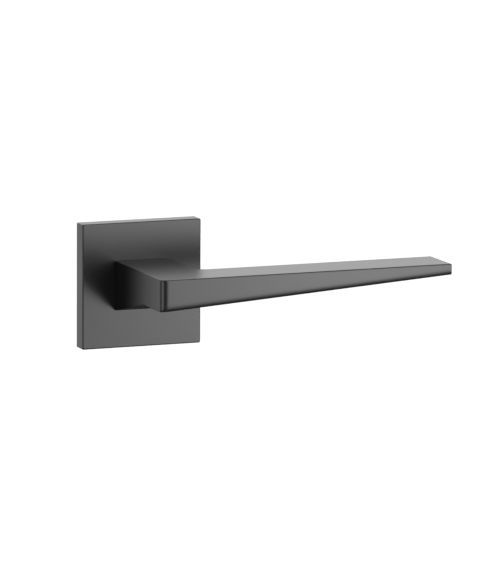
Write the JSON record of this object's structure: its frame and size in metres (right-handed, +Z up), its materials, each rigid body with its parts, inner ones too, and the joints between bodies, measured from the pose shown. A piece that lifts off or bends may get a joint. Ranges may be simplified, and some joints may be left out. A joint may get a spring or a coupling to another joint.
{
  "type": "door lever handle",
  "caption": "Door lever handle with a tapered flat grip and a slim square rose, a sprung hub behind it, a square spindle and threaded posts.",
  "frame": {"origin": "on the spindle's axis, in the plane of the door's face (the back of the rose)", "axes": "+Z up, +X along the grip away from the rose, +Y into the door, so -Y points to the person using it"},
  "size_m": [0.1418, 0.11, 0.052],
  "materials": {
    "graphite_finish": "satin graphite, metallic",
    "black_nylon": "matt",
    "white_acetal": "satin, moulded",
    "zinc_casting": "as die-cast",
    "plated_steel": "bright zinc plated",
    "yellow_plated_steel": "yellow zinc plated",
    "bright_steel": "drawn",
    "spring_steel": "oiled",
    "black_steel": "blackened"
  },
  "bodies": {
    "rose": {"rose_cover": "graphite_finish", "cover_ring": "black_nylon", "rose_base": "zinc_casting", "threaded_posts": "plated_steel", "bearing_bush": "white_acetal", "stop_pins": "bright_steel", "cover_clips": "spring_steel", "spring_cup": "plated_steel", "cup_screws": "plated_steel", "return_spring": "spring_steel", "wood_screws": "yellow_plated_steel"},
    "handle": {"lever": "graphite_finish", "grub_screw": "black_steel", "spindle": "bright_steel", "drive_hub": "zinc_casting", "thrust_washer": "bright_steel", "wave_washer": "spring_steel", "retaining_ring": "black_steel"}
  },
  "joints": [
    {"name": "lever_turn", "type": "hinge", "parent": "rose", "child": "handle", "pos_m": [0, 0, 0], "axis": [0, 1, 0], "range_deg": [0, 45], "stiffness_Nm_per_rad": 0.8, "springref_deg": -40.11, "deforming": ["return_spring"]}
  ]
}
